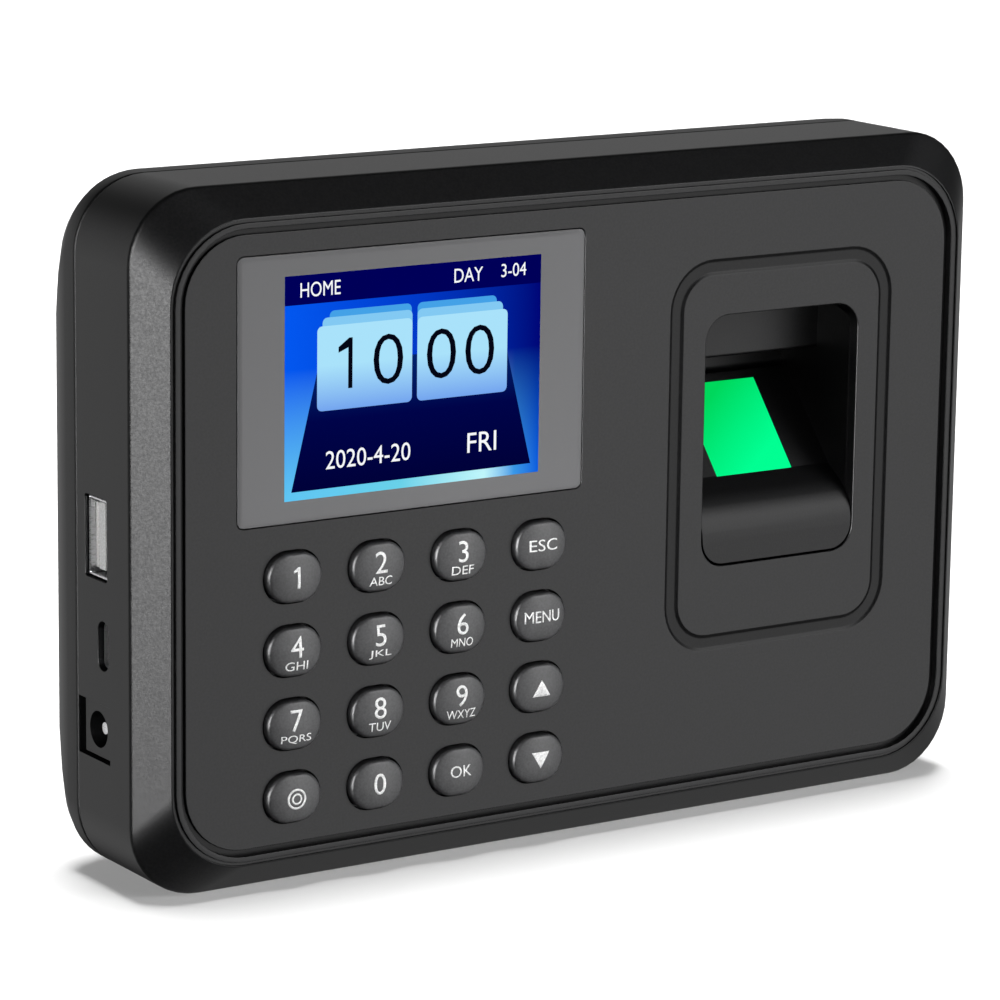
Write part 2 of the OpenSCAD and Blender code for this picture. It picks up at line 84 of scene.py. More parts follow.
case_low, case_high = box_mm("front_housing")
_, cover_high = box_mm("rear_cover")
window_mid, window_size = centre_and_size("display_window")
guide_mid, _ = centre_and_size("finger_guide")
FRONT_Y = case_low.y
BODY_W = case_high.x - case_low.x
BODY_H = case_high.z - case_low.z
MID_Z = (case_high.z + case_low.z) / 2
SPLIT_D = case_high.y - FRONT_Y
BODY_D = cover_high.y - FRONT_Y
PORT_X = case_low.x
WINDOW_W = window_size.x + 0.3
WINDOW_H = window_size.z + 0.3
PANEL_D = box_mm("display_window")[0].y - FRONT_Y
PANEL_BACK = PANEL_D + 2.2
FINGER_X = guide_mid.x
FINGER_Z = guide_mid.z - 0.15
FINGER_W = 32.4
FINGER_H = 43.9
WALL = 2.4
BEVEL = 5.1

# Outlines of the case seen from the front: width, height, corner radius.
BODY = (BODY_W, BODY_H, 12.5)
RIM = (BODY_W - 2 * BEVEL, BODY_H - 2 * BEVEL, 13.5)
GROOVE = (RIM[0] - 3.1, RIM[1] - 2.9, 12)
PANEL = (GROOVE[0] - 2, GROOVE[1] - 2, 11)
POCKET = (155, 104, 11)
INNER = (BODY_W - 2 * WALL, BODY_H - 2 * WALL, 10.1)
GROOVE_DEPTH = 0.6
RIM_STEP = 0.5          # depth and width of the small ledge round the rim
RING_DEPTH = 0.3
RING_T = 2.35
POCKET_D = 7.5          # depth at which the hollow widens from POCKET to INNER
FRONT_END = SPLIT_D - 0.15
REAR_START = SPLIT_D + 0.1
SIDE_ROUND = 1.3        # radius between the side wall and the slant
RIM_ROUND = 0.3


def at(x, d, z):
    """Point of the model's frame, in metres, from x, depth and height in millimetres."""
    return Vector((x, FRONT_Y + d, z)) * MM


# ---------------------------------------------------------------- mesh helpers
def rounded_rect(w, h, r, x=0.0, z=0.0, steps=10):
    """Outline points (x, z) of a rounded rectangle, counter-clockwise seen from the front."""
    points = []
    for i, j, start in ((1, -1, -90), (1, 1, 0), (-1, 1, 90), (-1, -1, 180)):
        for k in range(steps + 1):
            a = math.radians(start + 90 * k / steps)
            points.append((x + i * (w / 2 - r) + r * math.cos(a), z + j * (h / 2 - r) + r * math.sin(a)))
    return points


def rounded_path(corners, segments=6):
    """Open or closed outline with its corners (u, v, radius) turned into arcs."""
    points = []
    n = len(corners)
    for i, (u, v, r) in enumerate(corners):
        here = Vector((u, v))
        if r == 0:
            points.append(here)
            continue
        before = (Vector(corners[i - 1][:2]) - here).normalized()
        after = (Vector(corners[(i + 1) % n][:2]) - here).normalized()
        half = before.angle(after) / 2
        middle = here + (before + after).normalized() * r / math.sin(half)
        first = here + before * r / math.tan(half) - middle
        last = here + after * r / math.tan(half) - middle
        sweep = first.angle_signed(last)
        for k in range(segments + 1):
            points.append(middle + Matrix.Rotation(-sweep * k / segments, 2) @ first)
    return points


def new_object(name, bm, smooth_angle=32):
    bmesh.ops.recalc_face_normals(bm, faces=bm.faces)
    mesh = bpy.data.meshes.new(name)
    bm.to_mesh(mesh)
    bm.free()
    obj = bpy.data.objects.new(name, mesh)
    bpy.context.scene.collection.objects.link(obj)
    smooth(mesh, smooth_angle)
    return obj


def smooth(mesh, angle):
    mesh.shade_smooth()
    mesh.set_sharp_from_angle(angle=math.radians(angle))


def skin(bm, loops, ring=False):
    """Quads between successive loops, closed by two caps, or into a ring."""
    rings = [[bm.verts.new(p) for p in loop] for loop in loops]
    pairs = list(zip(rings, rings[1:]))
    if ring:
        pairs.append((rings[-1], rings[0]))
    for a, b in pairs:
        for i in range(len(a)):
            j = (i + 1) % len(a)
            bm.faces.new((a[i], a[j], b[j], b[i]))
    if not ring:
        bm.faces.new(rings[0])
        bm.faces.new(rings[-1])


def loop_at(outline, grow, d, x=0.0, z=None, steps=10):
    """Outline (w, h, r) grown outwards and placed at a depth."""
    w, h, r = outline
    z = MID_Z if z is None else z
    return [at(px, d, pz) for px, pz in rounded_rect(w + 2 * grow, h + 2 * grow, r + grow, x, z, steps)]


def hole(bm, outline, x, z, d0, d1, fillet, steps=8):
    """Cutter for a hole from depth d0 to d1, flared so that its mouth is rounded."""
    rows = [(fillet, d0 - 2), (fillet, d0 - 0.02)]
    for k in range(1, 5):
        a = math.radians(90 * k / 4)
        rows.append((fillet * (1 - math.sin(a)), d0 + fillet * (1 - math.cos(a))))
    rows.append((0, d1))
    skin(bm, [loop_at(outline, g, d, x, z, steps) for g, d in rows])


def extrude(bm, points, start, stop, place):
    """Prism of a flat outline between two distances; place turns (u, v, distance) into a point."""
    skin(bm, [[place(u, v, t) for u, v in points] for t in (start, stop)])


def cut(obj, tool_bm):
    """Takes the cutter's volume out of the object's mesh."""
    tool = new_object("tool", tool_bm)
    modifier = obj.modifiers.new("cut", "BOOLEAN")
    modifier.object = tool
    modifier.solver = "EXACT"
    apply_modifiers(obj)
    bpy.data.objects.remove(tool)


def apply_modifiers(obj, angle=32):
    graph = bpy.context.evaluated_depsgraph_get()
    mesh = bpy.data.meshes.new_from_object(obj.evaluated_get(graph))
    mesh.name = obj.name
    obj.modifiers.clear()
    obj.data = mesh
    smooth(mesh, angle)


def weigh_normals(obj):
    modifier = obj.modifiers.new("weigh", "WEIGHTED_NORMAL")
    modifier.keep_sharp = True
    modifier.weight = 80


def finish_piece(obj, body, slot, material, *nodes):
    """Gives a new piece its material and body, and lets it stand for its CAD nodes; the slot is not used."""
    for m in material if isinstance(material, tuple) else (material,):
        obj.data.materials.append(m)
    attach(obj, body)
    if nodes:
        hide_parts(*nodes)
    return obj


# ---------------------------------------------------------------- materials
class Nodes:
    """Short ways to add shader nodes to one material."""

    def __init__(self, name):
        self.material = bpy.data.materials.new(name)
        self.material.use_nodes = True
        self.tree = self.material.node_tree
        self.shader = self.tree.nodes["Principled BSDF"]
        self.where = self.add("ShaderNodeTexCoord").outputs["Object"]

    def add(self, kind, **values):
        node = self.tree.nodes.new(kind)
        for key, value in values.items():
            setattr(node, key, value)
        return node

    def link(self, a, b):
        self.tree.links.new(a, b)

    def noise(self, scale, detail=3.0, stretch=(1, 1, 1)):
        mapping = self.add("ShaderNodeMapping")
        mapping.inputs["Scale"].default_value = stretch
        self.link(self.where, mapping.inputs["Vector"])
        node = self.add("ShaderNodeTexNoise")
        node.inputs["Scale"].default_value = scale
        node.inputs["Detail"].default_value = detail
        self.link(mapping.outputs["Vector"], node.inputs["Vector"])
        return node.outputs["Fac"]

    def spread(self, value, low, high, start=0.3, stop=0.7):
        """Maps a noise value from start..stop to low..high."""
        node = self.add("ShaderNodeMapRange")
        node.inputs["From Min"].default_value = start
        node.inputs["From Max"].default_value = stop
        node.inputs["To Min"].default_value = low
        node.inputs["To Max"].default_value = high
        self.link(value, node.inputs["Value"])
        return node.outputs["Result"]

    def ramp(self, value, stops):
        node = self.add("ShaderNodeValToRGB")
        ramp = node.color_ramp
        while len(ramp.elements) < len(stops):
            ramp.elements.new(0.5)
        for element, (place, colour) in zip(ramp.elements, stops):
            element.position = place
            element.color = (*colour, 1)
        self.link(value, node.inputs["Fac"])
        return node.outputs["Color"]

    def axis(self, which, low, high):
        """Goes from 0 to 1 between two places, in millimetres, along an axis of the frame."""
        parts = self.add("ShaderNodeSeparateXYZ")
        self.link(self.where, parts.inputs[0])
        return self.spread(parts.outputs[which], 0, 1, low * MM, high * MM)

    def bump(self, value, height_m):
        node = self.add("ShaderNodeBump")
        node.inputs["Distance"].default_value = height_m
        node.inputs["Strength"].default_value = 1.0
        self.link(value, node.inputs["Height"])
        self.link(node.outputs["Normal"], self.shader.inputs["Normal"])

    def set(self, **values):
        for key, value in values.items():
            self.shader.inputs[key.replace("_", " ")].default_value = value


def shades(colour, *factors):
    return [tuple(min(1.0, c * f) for c in colour[:3]) for f in factors]


def moulded(name, colour, roughness=0.45, grain=3200, grain_m=0.00002, specular=0.5):
    """Spark-eroded moulded plastic: fine grain in colour, gloss and relief."""
    n = Nodes(name)
    dark, light = shades(colour, 0.8, 1.22)
    fine = n.noise(grain, 2)
    n.link(n.ramp(fine, ((0.32, dark), (0.68, light))), n.shader.inputs["Base Color"])
    n.link(n.spread(fine, roughness - 0.015, roughness + 0.015), n.shader.inputs["Roughness"])
    n.bump(fine, grain_m)
    n.set(Specular_IOR_Level=specular)
    return n.material


def metal(name, colour, roughness=0.28):
    """Plated or brushed metal with fine lines along one axis."""
    n = Nodes(name)
    dark, light = shades(colour, 0.85, 1.12)
    lines = n.noise(900, 3, (1, 1, 14))
    n.link(n.ramp(lines, ((0.3, dark), (0.7, light))), n.shader.inputs["Base Color"])
    n.link(n.spread(lines, roughness - 0.06, roughness + 0.1), n.shader.inputs["Roughness"])
    n.bump(lines, 0.000008)
    n.set(Metallic=1.0)
    return n.material


def glossy(name, colour):
    """Smooth plastic or film with faint handling marks."""
    roughness = 0.18
    n = Nodes(name)
    dark, light = shades(colour, 0.92, 1.08)
    n.link(n.ramp(n.noise(1800, 2), ((0.3, dark), (0.7, light))), n.shader.inputs["Base Color"])
    n.link(n.spread(n.noise(400, 3), roughness - 0.02, roughness + 0.03), n.shader.inputs["Roughness"])
    n.bump(n.noise(2400, 2), 0.000001)
    n.set(Specular_IOR_Level=0.5)
    return n.material


def window_film_painted_shade(name, colour):
    """Satin grey of the window plate, with painted shade: the colour grows a little darker towards the top.
    """
    n = Nodes(name)
    low, high = box_mm("display_window")
    # Painted shade: the grey is ramped darker from the plate's foot to its top.
    foot, top = shades(colour, 0.85, 0.74)
    n.link(n.ramp(n.axis("Z", low.z, high.z), ((0, foot), (1, top))), n.shader.inputs["Base Color"])
    n.link(n.spread(n.noise(400, 3), 0.28, 0.33), n.shader.inputs["Roughness"])
    n.bump(n.noise(2400, 2), 0.000001)
    n.set(Specular_IOR_Level=0.14)
    return n.material


def circuit(name, colour):
    """Solder mask over a faint pattern of tracks."""
    n = Nodes(name)
    dark, light = shades(colour, 0.7, 1.5)
    tracks = n.add("ShaderNodeTexBrick", offset=0.4)
    n.link(n.where, tracks.inputs["Vector"])
    tracks.inputs["Scale"].default_value = 260
    tracks.inputs["Mortar Size"].default_value = 0.03
    tracks.inputs["Color1"].default_value = (*dark, 1)
    tracks.inputs["Color2"].default_value = (*colour[:3], 1)
    tracks.inputs["Mortar"].default_value = (*light, 1)
    n.link(tracks.outputs["Color"], n.shader.inputs["Base Color"])
    n.link(n.spread(n.noise(300), 0.25, 0.4), n.shader.inputs["Roughness"])
    n.bump(tracks.outputs["Fac"], 0.00002)
    return n.material


def lit(name, colour_from):
    """Surface that gives its own light; colour_from(nodes) returns its colour."""
    n = Nodes(name)
    n.link(colour_from(n), n.shader.inputs["Emission Color"])
    n.set(Base_Color=(0, 0, 0, 1), Emission_Strength=1.0, Specular_IOR_Level=0.0, Roughness=0.6)
    return n.material


def linear(r, g, b):
    """Linear colour of a display colour given as 0 to 255."""
    return tuple((c / 255) ** 2.2 for c in (r, g, b))


DEEP = 0.28     # share of the record's colour that reads right under the strong studio lights
CASE_COLOUR = shades(SLOT_COLOUR["housing_front"], DEEP)[0]
CASE = moulded("case_plastic", CASE_COLOUR, 0.4, 2400, 0.000003, 0.2)
COVER = moulded("cover_plastic", shades(SLOT_COLOUR["housing_rear"], DEEP)[0], 0.45, 2400, 0.000003, 0.2)
# Half the case colour and a little smoother: the darkening is painted shade on the groove's floor and the
# ring's dip.
SHADED_BAND = moulded("smooth_shaded_band", shades(CASE_COLOUR, 0.5)[0], 0.38, 2200, 0.000003, 0.13)
# A smaller share than DEEP: the darkening is painted shade for the deep finger recess.
GUIDE = moulded("guide_plastic", shades(SLOT_COLOUR["guide_plastic"], 0.2)[0], 0.45, specular=0.2)
KEY = moulded("key_plastic", shades(SLOT_COLOUR["key_plastic"], 0.85)[0], 0.42, 2600, 0.000008, 0.42)
INK = moulded("white_ink", (0.86, 0.86, 0.86), 0.5, 3000, 0.000004, 0.3)
WINDOW = window_film_painted_shade("window_border", SLOT_COLOUR["window"])

MAKERS = {
    "ivory_plastic": moulded, "silicone": moulded, "carbon_pill": moulded, "black_plastic": moulded,
    "chip_epoxy": moulded, "usb_insulator": moulded, "sensor_case": moulded, "speaker_paper": moulded,
    "jack_plastic": moulded, "lcd_bezel": metal, "screw_steel": metal, "cell_steel": metal,
    "socket_shell": metal, "socket_shell_dark": metal, "jack_pin": metal, "brass": metal,
    "speaker_metal": glossy, "flex_film": glossy, "capacitor_sleeve": glossy, "led_lens": glossy,
    "camera_lens": glossy, "ribbon": glossy, "circuit_board": circuit,
}


def green_glow(n):
    """Green of the reading glass, brighter towards its lower right corner."""
    low, high = box_mm("sensor_prism")
    across = n.axis("X", low.x, high.x)
    up = n.axis("Z", high.z, low.z)
    both = n.add("ShaderNodeMath", operation="MULTIPLY_ADD")
    n.link(across, both.inputs[0])
    both.inputs[1].default_value = 0.5
    n.link(up, both.inputs[2])
    uneven = n.add("ShaderNodeMath", operation="MULTIPLY_ADD")
    n.link(n.noise(60, 2), uneven.inputs[0])
    uneven.inputs[1].default_value = 0.12
    n.link(both.outputs[0], uneven.inputs[2])
    return n.ramp(uneven.outputs[0], ((0.35, linear(1, 214, 92)), (1.0, linear(8, 255, 145))))


def dress_cad_nodes():
    """Gives every CAD node that stays in sight its material and softly broken edges."""
    made = {slot: maker(slot, SLOT_COLOUR[slot]) for slot, maker in MAKERS.items()}
    made["reader_glass"] = lit("reader_glass", green_glow)
    made["lcd_glass"] = glossy("lcd_glass", SLOT_COLOUR["lcd_glass"])
    made["jack_plastic"] = CASE
    made["usb_insulator"] = moulded("usb_insulator", (0.97, 0.97, 0.95))
    made["socket_shell_dark"] = metal("socket_shell_dark", (0.7, 0.7, 0.71), 0.35)
    frame["nodes"]["sensor_prism"].visible_diffuse = False
    frame["nodes"]["sensor_prism"].visible_glossy = False
    for name, obj in frame["nodes"].items():
        slot = SLOT_OF_NODE[name]
        if slot not in made:
            continue
        obj.data.materials.clear()
        obj.data.materials.append(made[slot])
        weld = obj.modifiers.new("weld", "WELD")
        weld.merge_threshold = 0.000002
        edge = obj.modifiers.new("edge", "BEVEL")
        edge.width = 0.00012
        edge.segments = 2
        edge.limit_method = "ANGLE"
        edge.angle_limit = math.radians(40)


# ---------------------------------------------------------------- case
def arc_between(a, b, corner, steps=5):
    """Points of a quadratic arc from a to b that is pulled towards a corner."""
    out = []
    for k in range(steps + 1):
        t = k / steps
        shares = ((1 - t) ** 2, 2 * t * (1 - t), t ** 2)
        out.append(tuple(shares[0] * p + shares[1] * c + shares[2] * q for p, c, q in zip(a, corner, b)))
    return out


def slanted(share, d):
    """Outline between body and rim at a depth, where share 0 is the body and 1 the rim."""
    w, h, r = (b + (m - b) * share for b, m in zip(BODY, RIM))
    return loop_at((w, h, r), 0, d)


def front_loops():
    """Loops of the front housing, from behind the panel, round the back edge, to the panel."""
    behind = ((POCKET, 0, PANEL_BACK), (POCKET, 0, POCKET_D), (INNER, 0, POCKET_D), (INNER, 0, FRONT_END),
              (BODY, -0.15, FRONT_END), (BODY, -0.04, SPLIT_D - 0.2), (BODY, 0, SPLIT_D - 0.35))
    edge = SIDE_ROUND * math.tan(math.radians(22.5))
    along = edge * 0.707
    side = arc_between((0, BEVEL + edge), (along / BEVEL, BEVEL - along), (0, BEVEL))
    rim = arc_between((1 - RIM_ROUND / BEVEL, RIM_ROUND), (1, RIM_ROUND), (1, 0.1), 3)
    soft = 0.18
    before = ((RIM, 0, RIM_STEP), (RIM, -RIM_STEP, RIM_STEP), (RIM, -RIM_STEP, soft),
              (RIM, -RIM_STEP - soft * 0.3, soft * 0.3), (RIM, -RIM_STEP - soft, 0),
              (GROOVE, soft, 0), (GROOVE, soft * 0.3, soft * 0.3), (GROOVE, 0, soft),
              (GROOVE, 0, PANEL_D + GROOVE_DEPTH), (PANEL, 0, PANEL_D + GROOVE_DEPTH),
              (PANEL, 0, PANEL_D + soft), (PANEL, -soft * 0.3, PANEL_D + soft * 0.3), (PANEL, -soft, PANEL_D))
    loops = [loop_at(outline, grow, d) for outline, grow, d in behind]
    loops += [slanted(share, d) for share, d in side + rim]
    return loops + [loop_at(outline, grow, d) for outline, grow, d in before]


def mark_shaded_faces(mesh):
    """Puts the ring's dip and the groove's floor in the second material slot, whose darker colour is painted
    shade for these hollows.
    """
    for poly in mesh.polygons:
        d = poly.center.y / MM - FRONT_Y
        beside = abs(poly.center.x / MM - FINGER_X) - FINGER_W / 2
        beyond = abs(poly.center.z / MM - FINGER_Z) - FINGER_H / 2
        in_ring = 2 < max(beside, beyond) < 15 and PANEL_D + 0.02 < d < PANEL_D + RING_DEPTH + 0.05
        at_groove = abs(d - PANEL_D - GROOVE_DEPTH) < 0.05
        if poly.normal.y < -0.5 and (in_ring or at_groove):
            poly.material_index = 1


def build_front_housing():
    bm = bmesh.new()
    skin(bm, front_loops())
    housing = new_object("front_housing_shell", bm)
    cut(housing, front_cutters())
    cut(housing, port_cutters())
    mark_shaded_faces(housing.data)
    weigh_normals(housing)
    return finish_piece(housing, "case", "housing_front", (CASE, SHADED_BAND), "front_housing")


KEY_NAMES = [n for n in frame["nodes"] if n.startswith("key_")]
KEY_OPENING = (10.8, 8.8, 4.25)
RING = (46.7, 68, 8.5)


def front_cutters():
    """Holes for keys, window and finger, and the shallow dip of the ring round the finger opening."""
    bm = bmesh.new()
    for name in KEY_NAMES:
        middle, _ = centre_and_size(name)
        hole(bm, KEY_OPENING, middle.x, middle.z, PANEL_D, PANEL_BACK + 1, 0.12)
    hole(bm, (WINDOW_W, WINDOW_H, 1.3), window_mid.x, window_mid.z, PANEL_D, PANEL_D + 1.5, 0.1)
    hole(bm, (FINGER_W, FINGER_H, 4.6), FINGER_X, FINGER_Z, PANEL_D, PANEL_BACK + 1, 0.25)
    ring_x = FINGER_X - 0.2
    ring_z = 63.65
    inner = (RING[0] - 2 * RING_T, RING[1] - 2 * RING_T, 6.3)
    slope = ((0.35, 0), (0.22, 0.06), (0.05, 0.3), (-0.1, 0.6), (-0.3, 0.9), (-0.5, 1))
    rows = [(RING, 0.35, PANEL_D - 1)] + [(RING, grow, PANEL_D + RING_DEPTH * share) for grow, share in slope]
    rows += [(inner, -grow, PANEL_D + RING_DEPTH * share) for grow, share in reversed(slope)]
    rows += [(inner, -0.35, PANEL_D - 1)]
    skin(bm, [loop_at(o, g, d, ring_x, ring_z) for o, g, d in rows], ring=True)
    return bm


def side_hole(bm, depth, height, r, d, z, reach, fillet):
    """Cutter into the left wall, with a rounded mouth."""
    rows = [(fillet, 2), (fillet, 0.02)]
    for k in range(1, 4):
        a = math.radians(90 * k / 3)
        rows.append((fillet * (1 - math.sin(a)), -fillet * (1 - math.cos(a))))
    rows.append((0, -reach))
    loops = []
    for grow, out in rows:
        outline = rounded_rect(depth + 2 * grow, height + 2 * grow, r + grow, d, z, 6)
        loops.append([at(PORT_X - out, u, v) for u, v in outline])
    skin(bm, loops)


def port_cutters():
    """USB-A and micro USB cut-outs and the open notch for the power socket."""
    usb, _ = centre_and_size("usb_a_shell")
    jack, jack_size = centre_and_size("power_jack_body")
    micro, _ = centre_and_size("micro_usb_tongue")
    socket_d = box_mm("power_jack_body")[1].y - FRONT_Y - 4.45
    bm = bmesh.new()
    side_hole(bm, 7.4, 13.6, 0.6, socket_d, usb.z, WALL + 1, 0.15)
    side_hole(bm, 3.6, 8.2, 1.75, socket_d - 2.3, micro.z, WALL + 1, 0.15)
    notch_d = SPLIT_D + 2 - (socket_d - 4.5)
    notch_h = jack_size.z + 0.65
    side_hole(bm, notch_d, notch_h, 0.1, socket_d - 4.5 + notch_d / 2, jack.z - 0.3, WALL + 1, 0.05)
    return bm


def build_rear_cover():
    """Domed back with a lip that reaches into the front housing behind the joint line."""
    def section(w, h, r):
        return (BODY_W - w, BODY_H - h, r)

    lip_end = REAR_START - 1.5
    pocket = (152, 100, 24)
    pocket_mouth = (160, 108.8, 18)
    inside = [(pocket, 0, BODY_D - WALL), (pocket, 0, 30), (pocket_mouth, 0, 30),
              (pocket_mouth, 0, 26.5), (INNER, 0, 26.5)]
    lip = [(INNER, -1.1, REAR_START), (INNER, -1.1, lip_end),
           (INNER, -0.1, lip_end), (INNER, -0.1, REAR_START)]
    edge = arc_between((-0.55, REAR_START), (0, REAR_START + 0.55), (0, REAR_START), 4)
    pillow = [(BODY, 0, 26.5), (section(0.25, 0.25, 14), 0, 28.2), (section(1, 1, 18), 0, 30),
              (section(2, 2, 22.5), 0, 31.6), (section(3.6, 3.6, 28), 0, 33), (section(6, 6, 32), 0, 34.2),
              (section(9, 9, 36), 0, BODY_D)]
    rows = inside + lip + [(BODY, grow, d) for grow, d in edge] + pillow
    bm = bmesh.new()
    skin(bm, [loop_at(outline, grow, d, steps=14) for outline, grow, d in rows])
    cover = new_object("rear_cover_shell", bm)
    cut(cover, back_cutters())
    weigh_normals(cover)
    return finish_piece(cover, "case", "housing_rear", COVER, "rear_cover")


def back_hole(bm, w, h, r, x, z, depth, fillet=0.3):
    """Cutter from the back face forwards."""
    rows = [(fillet, BODY_D + 2), (fillet, BODY_D + 0.02)]
    for k in range(1, 4):
        a = math.radians(90 * k / 3)
        rows.append((fillet * (1 - math.sin(a)), BODY_D - fillet * (1 - math.cos(a))))
    rows.append((0, BODY_D - depth))
    skin(bm, [loop_at((w, h, r), g, d, x, z, 8) for g, d in rows])


def back_cutters():
    """Screw recesses, insert holes and speaker slots."""
    bm = bmesh.new()
    low, high = box_mm("case_screws")
    head_r = 2.8
    for x in (low.x + head_r, high.x - head_r):
        for z in (low.z + head_r, high.z - head_r):
            back_hole(bm, 6.4, 6.4, 3.15, x, z, BODY_D - 24.2)
    low, high = box_mm("wall_inserts")
    insert_r = 2.3
    for x in (low.x + insert_r, high.x - insert_r):
        for z in (low.z + insert_r, high.z - insert_r):
            back_hole(bm, 4.66, 4.66, 2.32, x, z, WALL + 1, 0.15)
    speaker, _ = centre_and_size("speaker_frame")
    slot_pitch = 3.2
    for i in range(-3, 4):
        back_hole(bm, 1.6, 16 - 2 * abs(i), 0.78, speaker.x + slot_pitch * i, speaker.z, WALL + 1, 0.2)
    return bm


# ---------------------------------------------------------------- finger guide
# Its profile is drawn in the plane (depth, height). The glass lies on the slope.
SLOPE = math.radians(49.8)
UP_GLASS = Vector((math.cos(SLOPE), math.sin(SLOPE)))
BELOW_GLASS = Vector((math.sin(SLOPE), -math.cos(SLOPE)))
GLASS_LOW = Vector((7.78, 58.26))
GLASS_HIGH = GLASS_LOW + UP_GLASS * 18.5
RIDGE = GLASS_HIGH + UP_GLASS * 1.7
PLATE_D = 0.7
LEDGE_Z = 53.5
HOOD_Z = FINGER_Z + FINGER_H / 2 - 0.25
CAVITY_W = FINGER_W - 0.4


def in_guide(u, v, t):
    """Point from a depth, a height and a distance to the right of the recess's middle."""
    return at(FINGER_X + t, u, v)


def guide_body():
    """Prism from which the recess is cut."""
    under = 1.8 * BELOW_GLASS
    low_z = FINGER_Z + 0.15 - (FINGER_H - 1.2) / 2
    outer = [
        (PANEL_BACK, low_z), (PANEL_BACK + 1.8, low_z), (PANEL_BACK + 1.8, 52.6), (GLASS_LOW.x + 1.1, 56.76),
        (RIDGE.x + under.x, RIDGE.y + under.y), (24.4, RIDGE.y + under.y), (24.4, 80.1),
        (13.8, 80.1), (13.8, HOOD_Z + 1.8), (PANEL_BACK, HOOD_Z + 1.8)]
    bm = bmesh.new()
    extrude(bm, outer, -CAVITY_W / 2 - 0.9, CAVITY_W / 2 + 0.9, in_guide)
    return bm


def guide_plate():
    """Flush front plate below the glass: rounded at the bottom, straight at the top."""
    w = FINGER_W - 0.5
    top = LEDGE_Z + 3
    foot = FINGER_Z - FINGER_H / 2 + 4
    below = [p for p in rounded_rect(w, FINGER_H - 0.7, 4.35, FINGER_X, FINGER_Z) if p[1] < top]
    left = sorted((p for p in below if p[0] < FINGER_X), key=lambda p: -p[1])
    right = sorted((p for p in below if p[0] > FINGER_X), key=lambda p: p[1])
    outline = [(FINGER_X - w / 2, top)] + left + right + [(FINGER_X + w / 2, top)]

    def grown(x, z, grow, d):
        side = 1 if x > FINGER_X else -1
        return at(x + grow * side, d, z - (grow if z < foot else 0))

    rows = ((-0.12, PLATE_D), (-0.03, PLATE_D + 0.03), (0, PLATE_D + 0.12), (0, PANEL_BACK + 0.5))
    bm = bmesh.new()
    skin(bm, [[grown(x, z, grow, d) for x, z in outline] for grow, d in rows])
    return bm


def guide_cavity():
    """Cutter for the fingertip pocket, with a soft lip below and a rounded hood above."""
    profile = rounded_path([
        (-2, 48, 0), (PLATE_D, 48, 0), (PLATE_D, LEDGE_Z, 9), (GLASS_LOW.x, GLASS_LOW.y, 0.4),
        (RIDGE.x, RIDGE.y, 0.25), (22.6, RIDGE.y, 1), (22.6, 78.3, 1.5), (12, 78.3, 0.6),
        (12, HOOD_Z, 1.2), (-2, HOOD_Z, 0)])
    bm = bmesh.new()
    extrude(bm, profile, -CAVITY_W / 2, CAVITY_W / 2, in_guide)
    top = [e for e in bm.edges if all(abs(v.co.z / MM - HOOD_Z) < 0.01 for v in e.verts)
           and abs(e.verts[0].co.x - e.verts[1].co.x) < 1e-6]
    bmesh.ops.bevel(bm, geom=top, offset=4 * MM, segments=8, profile=0.5, affect="EDGES")
    return bm


def glass_opening():
    """Cutter through the slope, where the reading glass shows."""
    width, length, reach = 16.3, 18.7, 6
    middle = (GLASS_LOW + GLASS_HIGH) / 2
    ends = []
    for side in (-reach, reach):
        ring = []
        for s, t in ((-1, -1), (1, -1), (1, 1), (-1, 1)):
            p = middle + UP_GLASS * t * length / 2 + BELOW_GLASS * side
            ring.append(in_guide(p.x, p.y, s * width / 2))
        ends.append(ring)
    bm = bmesh.new()
    skin(bm, ends)
    return bm


def build_finger_guide():
    """Moulded recess: flush front plate with a soft lip, a slope for the glass, a fingertip pocket."""
    guide = new_object("finger_recess", guide_body())
    join(guide, guide_plate())
    cut(guide, guide_cavity())
    cut(guide, glass_opening())
    weigh_normals(guide)
    return finish_piece(guide, "case", "guide_plastic", GUIDE, "finger_guide")


def join(obj, other_bm):
    """Adds another closed mesh to an object's volume."""
    other = new_object("other", other_bm)
    modifier = obj.modifiers.new("join", "BOOLEAN")
    modifier.operation = "UNION"
    modifier.object = other
    modifier.solver = "EXACT"
    apply_modifiers(obj)
    bpy.data.objects.remove(other)


# ---------------------------------------------------------------- socket contacts
def build_usb_leaf():
    """Spring leaf inside the USB-A shell, beside the white tongue, bright from a painted reflection."""
    tongue_mid, _ = centre_and_size("usb_a_tongue")
    middle = tongue_mid.y - FRONT_Y + 2.3
    rows = ((1.5, -0.12), (1.53, -0.03), (1.65, 0), (9, 0))
    bm = bmesh.new()
    loops = []
    for x, grow in rows:
        outline = rounded_rect(0.9 + 2 * grow, 10.8 + 2 * grow, 0.25 + grow, middle, tongue_mid.z, 3)
        loops.append([at(PORT_X + x, d, z) for d, z in outline])
    skin(bm, loops)
    leaf = new_object("usb_a_leaf", bm)
    # Near-white matte colour in place of plated metal: painted reflection of the light on the leaf.
    return finish_piece(leaf, "case", "socket_shell", moulded("tinned_leaf_painted_sheen", (0.95, 0.93, 0.89), 0.35))


# ---------------------------------------------------------------- keys
KEY_TOP = -1.2
KEY_CAP = (10.2, 8.2, 3.95)
DOME_R = 17
EDGE_R = 0.5
LONGEST_INK_EDGE = 0.5
LEGENDS = {
    "key_1": ("1", ""), "key_2": ("2", "ABC"), "key_3": ("3", "DEF"), "key_esc": ("ESC", None),
    "key_4": ("4", "GHI"), "key_5": ("5", "JKL"), "key_6": ("6", "MNO"), "key_menu": ("MENU", None),
    "key_7": ("7", "PQRS"), "key_8": ("8", "TUV"), "key_9": ("9", "WXYZ"), "key_0": ("0", ""),
    "key_ok": ("OK", None), "key_power": ("ring", None), "key_up": ("up", None), "key_down": ("down", None),
}


def dome_depth(x, z):
    """Depth of a key's crowned face at a place measured from its middle."""
    return KEY_TOP + (x * x + z * z) / (2 * DOME_R)


